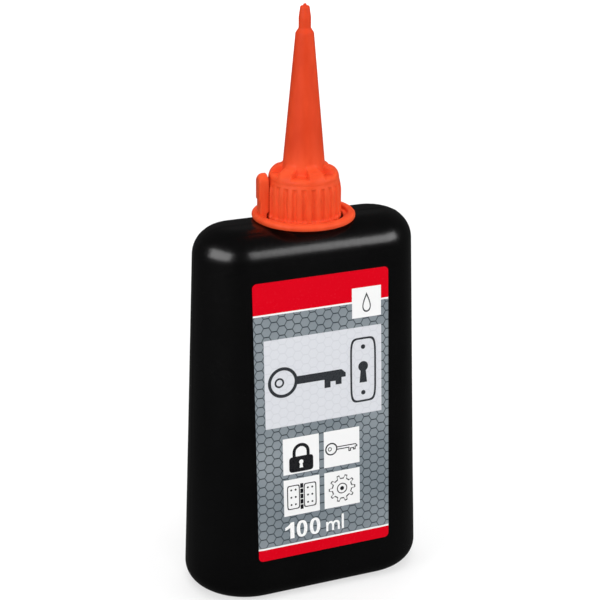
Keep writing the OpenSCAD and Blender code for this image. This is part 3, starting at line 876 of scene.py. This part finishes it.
def gear_loop(root_r, crest_r, width):
    """Outline of the teeth. Width makes them wider or narrower than their share of the pitch."""
    foot, top = tooth_foot_share * width, tooth_top_share * width
    return [(gear_x + r * math.cos((tooth + share) * 2 * math.pi / gear_teeth),
             gear_z + r * math.sin((tooth + share) * 2 * math.pi / gear_teeth))
            for tooth in range(gear_teeth)
            for r, share in ((root_r, -foot), (crest_r, -top), (crest_r, top), (root_r, foot))]


drawing("gear_rim", [gear_loop(2.9, 3.75, 1.0), gear_loop(2.62, 3.45, 0.8)], black_ink)
drawing("gear_hub", [round_loop(gear_x, gear_z, r) for r in (1.45, 1.2, 0.55)], black_ink)

# Hinge screws: the heads of six screws in each leaf of the printed hinge, in black ink.
# One dot is made and set out in columns and rows by a node tree.
screw_sizes = {"Width": 1.2, "Height": 4.0, "Dot radius": 0.26, "Thickness": 2 * outline_half_t}
screw_columns, screw_rows, dot_sides = 2, 3, 20


def dot_grid(name, middle_x, middle_z, sizes, columns, rows, material):
    """Printed dots in columns and rows round a middle, set out by a node tree."""
    tree = bpy.data.node_groups.new(name, "GeometryNodeTree")
    tree.is_modifier = True
    named = {title: tree.interface.new_socket(
        title, in_out="INPUT", socket_type="NodeSocketFloat").identifier for title in sizes}
    tree.interface.new_socket("Geometry", in_out="OUTPUT", socket_type="NodeSocketGeometry")
    start = Term(tree)
    given = {title: start.node("NodeGroupInput", output=title) for title in sizes}
    grid = start.node("GeometryNodeMeshGrid", {}, {
        "Size X": given["Width"], "Size Y": given["Height"], "Vertices X": columns,
        "Vertices Y": rows})
    dot = start.node("GeometryNodeMeshCylinder", {"fill_type": "NGON"}, {
        "Vertices": dot_sides, "Radius": given["Dot radius"], "Depth": given["Thickness"]})
    laid = start.node("GeometryNodeInstanceOnPoints", {}, {"Points": grid, "Instance": dot})
    real = start.node("GeometryNodeRealizeInstances", {}, {"Geometry": laid})
    inked = start.node("GeometryNodeSetMaterial", {}, {"Geometry": real, "Material": material})
    start.node("NodeGroupOutput", {}, {"Geometry": inked})
    holder = bpy.data.objects.new(name, bpy.data.meshes.new(name))
    modifier = holder.modifiers.new(name, "NODES")
    modifier.node_group = tree
    for title, value in sizes.items():
        modifier[named[title]] = value
    bpy.context.scene.collection.objects.link(holder)
    mesh = plain_mesh(holder)
    for vertex in mesh.vertices:
        vertex.co += Vector((middle_x, middle_z, 0))
    on_face(name, mesh, material)


dot_grid("hinge_screws_left", hinge_x - leaf_x, hinge_z, screw_sizes, screw_columns, screw_rows,
         black_ink)
dot_grid("hinge_screws_right", hinge_x + leaf_x, hinge_z, screw_sizes, screw_columns, screw_rows,
         black_ink)

# Panel drawing: a key in front of a keyhole plate, large and in dark grey ink on the pale
# panel. The key is the second tile's, enlarged. The plate has two screws and a keyhole.
grey_ink = ink_material("grey_ink", (0.03, 0.033, 0.038))
art_z, big_key_x, big_key_size = 59.2, -4.0, 2.35
plate_x, screw_z, plate_screw_r = 11.2, 6.1, 0.6
drawing("panel_key_bow", [moved(loop, big_key_x, art_z, big_key_size) for loop in bow], grey_ink)
drawing("panel_key_blade", [moved(blade, big_key_x, art_z, big_key_size)], grey_ink)
plate = [round_loop(plate_x, art_z, across, up, square=6)
         for across, up in ((3.6, 8.6), (3.1, 8.1))]
slot = moved(round_loop(0, 0.9, 1.35, count=30, start=-0.32 * math.pi, end=1.32 * math.pi)
             + [(-1.05, -3.4), (1.05, -3.4)], plate_x, art_z)
drawing("keyhole_plate", plate + [slot], grey_ink)
drawing("keyhole_screws", [round_loop(plate_x, art_z + z, plate_screw_r)
                           for z in (-screw_z, screw_z)], grey_ink)

# Drop: the outline of a drop in dark grey ink, printed on the white square.
# It is drawn as one loop round another.
drop_x, drop_share, drop_point = 12.25, 0.62, 1.4


def drop_loop(z, size):
    return [(drop_x + size * drop_share * math.sin(turn) * math.sin(turn / 2) ** drop_point,
             z + size * math.cos(turn)) for turn in np.linspace(0, 2 * math.pi, 40, endpoint=False)]


drawing("square_drop", [drop_loop(76.9, 2.6), drop_loop(76.7, 2.0)], grey_ink)

# Studio: pale paper under a white world, with the photograph's camera. Five lamps light the
# bottle and two more only show in it. What it mirrors is darker than what the camera sees.
floor_reach, paper_grey, mirrored_glow, world_light = 8.0, (0.45, 0.45, 0.45, 1), 0.05, 0.22
glow_near, glow_far, glow_near_strength = 0.25, 1.2, 0.55
camera_azimuth, camera_elevation, camera_roll = -23.54, 20.31, 0.39
camera_place, focal_length, film_w = (-0.16069, -0.36711, 0.22343), 101.193, 36
lamp_aim = Vector((0, 0, 90 * mm))

floor_mesh = bpy.data.meshes.new("floor")
floor_mesh.from_pydata([(x * floor_reach, y * floor_reach, 0) for x, y in box_loop(-1, -1, 1, 1)],
                       [], [(0, 1, 2, 3)])
floor = bpy.data.objects.new("floor", floor_mesh)
bpy.context.scene.collection.objects.link(floor)
paper = bpy.data.materials.new("paper")
paper.use_nodes = True
paper.node_tree.nodes.clear()


def ray_kinds(tree):
    """Whether a ray is the camera's, and whether a surface mirrored it or let it through."""
    start = Term(tree)
    seen, glossy, through = [start.node("ShaderNodeLightPath", output=kind) for kind in (
        "Is Camera Ray", "Is Glossy Ray", "Is Transmission Ray")]
    return seen, glossy.higher(through)


seen, mirrored = ray_kinds(paper.node_tree)
ground = seen.node("ShaderNodeTexCoord", output="Object")
away = ground.node("ShaderNodeVectorMath", {"operation": "LENGTH"}, {0: ground}, "Value")
white_out = seen * away.ramp(glow_near, glow_far, glow_near_strength, 1)
lit = seen.node("ShaderNodeBsdfDiffuse", {}, {"Color": paper_grey})
dimmed = seen.node("ShaderNodeMixShader", {}, {0: mirrored, 1: lit})
glow = seen.node("ShaderNodeEmission", {}, {
    "Color": (1, 1, 1, 1), "Strength": white_out.higher(mirrored * mirrored_glow)})
both = seen.node("ShaderNodeAddShader", {}, {0: dimmed, 1: glow})
seen.node("ShaderNodeOutputMaterial", {}, {"Surface": both})
floor_mesh.materials.append(paper)

world = bpy.data.worlds.new("studio")
bpy.context.scene.world = world
world.use_nodes = True
sky = world.node_tree.nodes["Background"]
sky.inputs["Color"].default_value = (1, 1, 1, 1)
seen, mirrored = ray_kinds(world.node_tree)
strength = seen.higher(mirrored * mirrored_glow + (1 - mirrored) * world_light)
world.node_tree.links.new(strength.socket, sky.inputs["Strength"])


def direction(azimuth, elevation):
    """The way out from the bottle's front, turned by an azimuth and raised, in degrees."""
    turn, rise = math.radians(azimuth), math.radians(elevation)
    return Vector((math.sin(turn) * math.cos(rise), -math.cos(turn) * math.cos(rise),
                   math.sin(rise)))


def softbox(name, azimuth, elevation, distance, width, height, radiance, shines_on):
    """A rectangular lamp that faces the bottle: one that lights it, or one that it mirrors."""
    away = direction(azimuth, elevation)
    lamp = bpy.data.lights.new(name, "AREA")
    lamp.shape, lamp.size, lamp.size_y = "RECTANGLE", width, height
    lamp.energy = radiance * math.pi * width * height
    holder = bpy.data.objects.new(name, lamp)
    holder.location = lamp_aim + away * distance
    holder.rotation_euler = away.to_track_quat("Z", "Y").to_euler()
    holder.visible_diffuse = shines_on == "matt"
    holder.visible_glossy = shines_on == "gloss"
    bpy.context.scene.collection.objects.link(holder)


softbox("light_right", 62, 22, 1.3, 0.8, 0.6, 4.3, "matt")
softbox("light_left", -80, 25, 1.3, 0.6, 0.5, 6.4, "matt")
softbox("light_front", -14, 24, 1.3, 0.8, 0.6, 5.4, "matt")
softbox("light_above", 0, 88, 1.3, 1.3, 1.3, 1.5, "matt")
softbox("light_behind", 165, 45, 1.5, 1.6, 1.0, 1.6, "matt")
softbox("gloss_right", 39, 21, 1.2, 0.8, 0.5, 4.8, "gloss")
softbox("gloss_left", -66, 24, 1.2, 1.35, 0.66, 4.6, "gloss")

back, right = direction(camera_azimuth, camera_elevation), direction(camera_azimuth + 90, 0)
aimed = Matrix((right, back.cross(right), back)).transposed().to_4x4()
rolled = aimed @ Matrix.Rotation(math.radians(camera_roll), 4, "Z")
lens = bpy.data.cameras.new("camera")
lens.lens, lens.sensor_width = focal_length, film_w
camera = bpy.data.objects.new("camera", lens)
camera.matrix_world = Matrix.Translation(camera_place) @ rolled
bpy.context.scene.collection.objects.link(camera)
bpy.context.scene.camera = camera
bpy.context.scene.view_settings.view_transform = "Standard"
